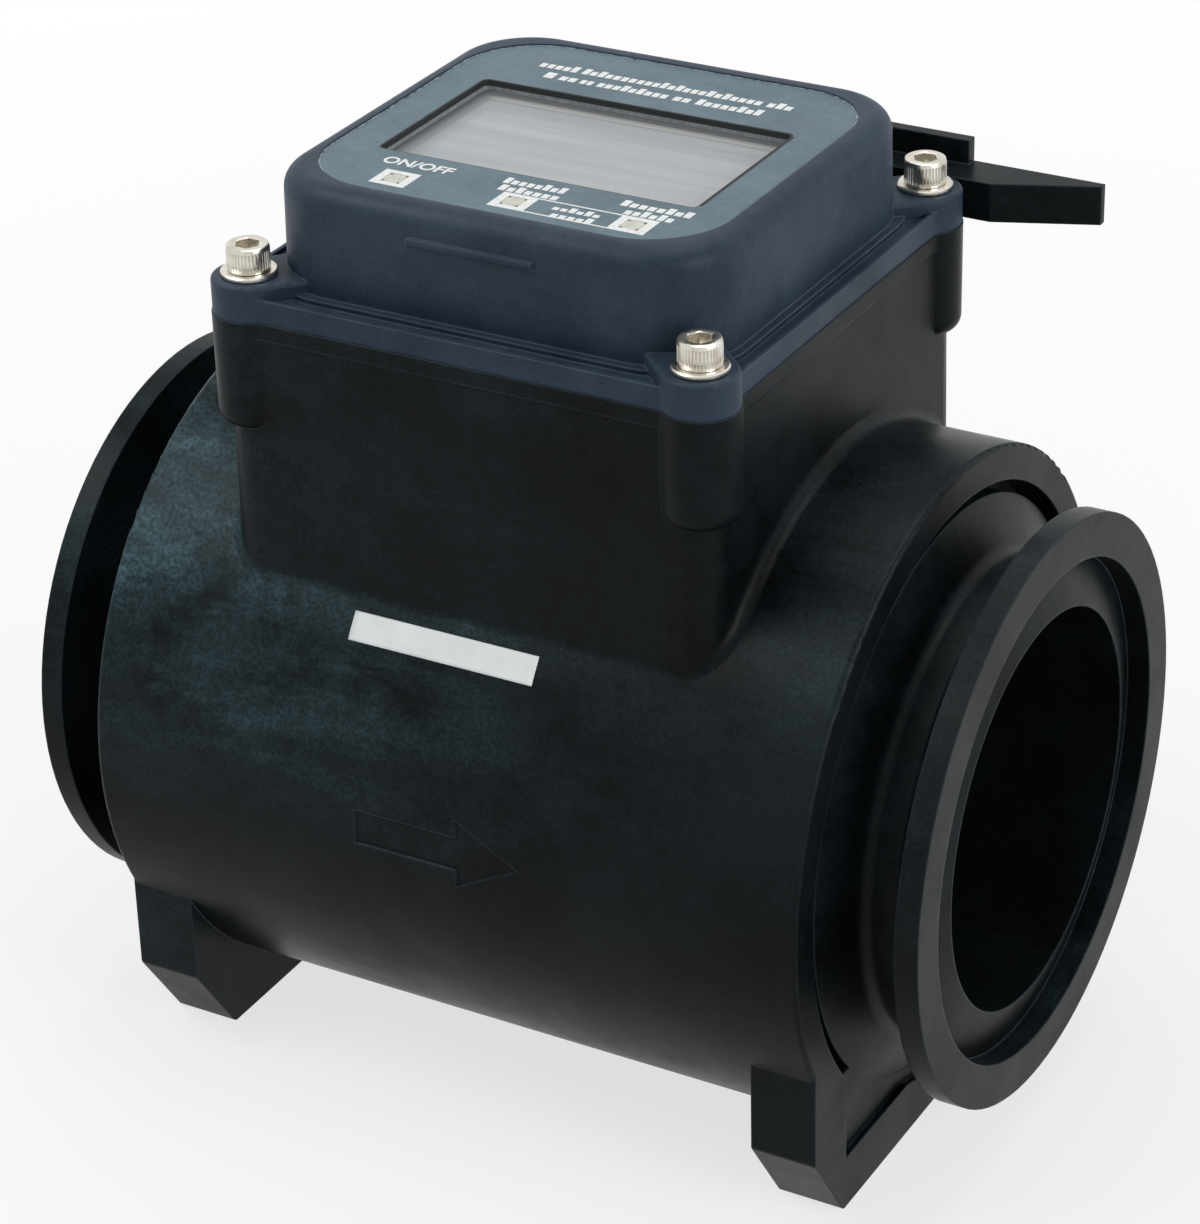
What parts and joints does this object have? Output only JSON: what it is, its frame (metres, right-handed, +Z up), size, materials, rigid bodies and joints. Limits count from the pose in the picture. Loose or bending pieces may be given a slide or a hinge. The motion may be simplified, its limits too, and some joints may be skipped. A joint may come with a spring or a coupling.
{
  "type": "in-line flow meter",
  "caption": "Black plastic in-line flow meter: a flanged pipe body on two feet, a square tower with a slate display cover, a pale display under a window, and a turbine in the bore.",
  "frame": {"origin": "centre of the inlet flange's outer face, on the pipe axis", "axes": "+X along the pipe with the flow, from the inlet to the outlet; +Z up from the feet to the display; +Y to the back, away from the display's reader"},
  "size_m": [0.185, 0.1296, 0.182],
  "materials": {
    "body_plastic": "glass-filled polypropylene, black, fine grain",
    "cover_plastic": "moulded plastic, dark slate blue, fine grain",
    "panel_film": "printed film, blue-grey, satin",
    "clear_pane": "clear acrylic pane",
    "display_glass": "blank liquid crystal display, pale grey",
    "inner_plastic": "black moulded plastic",
    "board": "green circuit board",
    "touch_plastic": "off-white translucent plastic",
    "cell_jacket": "plain jacket",
    "contact_metal": "nickel-plated steel",
    "turbine_plastic": "moulded dark grey plastic",
    "bearing_plastic": "white bearing plastic",
    "stainless": "stainless steel",
    "insert_brass": "turned brass",
    "seal": "black rubber"
  },
  "bodies": {
    "meter": {"meter_body": "body_plastic", "cover_gasket": "seal", "display_cover": "cover_plastic", "cover_screws": "stainless", "cover_washers": "stainless", "thread_inserts": "insert_brass", "face_panel": "panel_film", "display_window": "clear_pane", "lcd_module": "display_glass", "lcd_frame": "inner_plastic", "circuit_board": "board", "board_screws": "stainless", "touch_window_1": "touch_plastic", "touch_window_2": "touch_plastic", "touch_window_3": "touch_plastic", "pickup_sensor": "inner_plastic", "battery_holder": "inner_plastic", "battery_cell_1": "cell_jacket", "battery_cell_2": "cell_jacket", "contact_bridge": "contact_metal", "contact_positive": "contact_metal", "contact_negative": "contact_metal", "inlet_support": "turbine_plastic", "outlet_support": "turbine_plastic", "inlet_bearing": "bearing_plastic", "outlet_bearing": "bearing_plastic", "inlet_retainer": "stainless", "outlet_retainer": "stainless"},
    "turbine": {"rotor": "turbine_plastic", "rotor_shaft": "stainless", "rotor_magnet_1": "contact_metal", "rotor_magnet_2": "contact_metal"}
  },
  "joints": [
    {"name": "rotor_spin", "type": "hinge", "parent": "meter", "child": "turbine", "pos_m": [0.0925, 0, 0], "axis": [1, 0, 0], "continuous": true}
  ]
}
